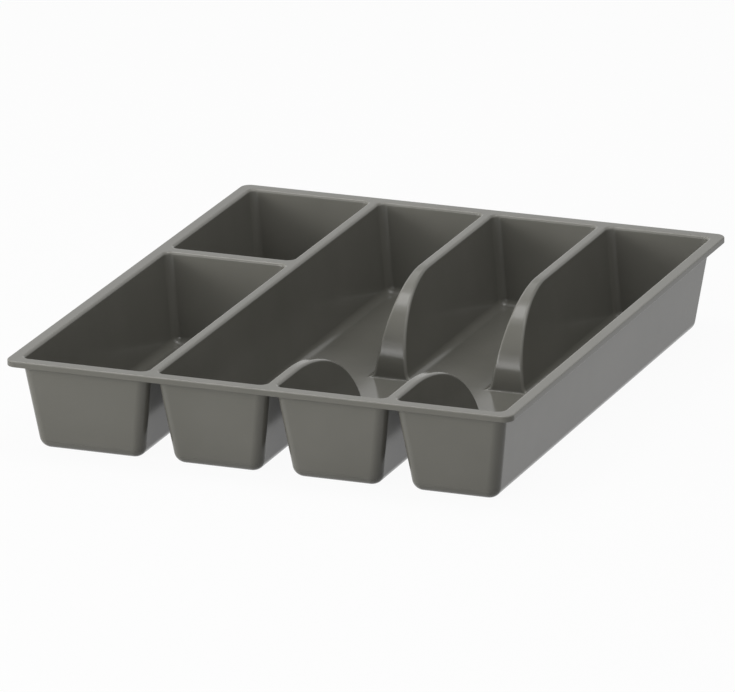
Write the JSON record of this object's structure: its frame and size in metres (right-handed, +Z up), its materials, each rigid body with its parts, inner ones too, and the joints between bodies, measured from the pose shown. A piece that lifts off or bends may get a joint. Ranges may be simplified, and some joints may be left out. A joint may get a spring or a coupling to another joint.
{
  "type": "cutlery tray",
  "caption": "Moulded plastic drawer tray with drafted compartments, a flat rim with a turned-down lip, and dividers that curve down to finger dips.",
  "frame": {"origin": "on the ground under the middle of the tray", "axes": "+X along the front edge to the right, +Y from front to back along the compartments, +Z up"},
  "size_m": [0.26, 0.31, 0.047],
  "materials": {
    "tray_plastic": "satin moulded polypropylene, dark warm grey"
  },
  "bodies": {
    "root": {"rim_front": "tray_plastic", "rim_back": "tray_plastic", "rim_left": "tray_plastic", "rim_right": "tray_plastic", "wall_left_front": "tray_plastic", "wall_left_rear": "tray_plastic", "wall_right": "tray_plastic", "wall_front_left": "tray_plastic", "wall_front_middle_left": "tray_plastic", "wall_front_middle_right": "tray_plastic", "wall_front_right": "tray_plastic", "wall_back_left": "tray_plastic", "wall_back_middle_left": "tray_plastic", "wall_back_middle_right": "tray_plastic", "wall_back_right": "tray_plastic", "divider_left": "tray_plastic", "divider_cross": "tray_plastic", "ridge_middle_rear": "tray_plastic", "ridge_middle_front": "tray_plastic", "ridge_right_rear": "tray_plastic", "ridge_right_front": "tray_plastic", "saddle_middle": "tray_plastic", "saddle_right": "tray_plastic", "floor_rear_left": "tray_plastic", "floor_front_left": "tray_plastic", "floor_middle_left": "tray_plastic", "floor_middle_right": "tray_plastic", "floor_right": "tray_plastic"}
  },
  "joints": []
}
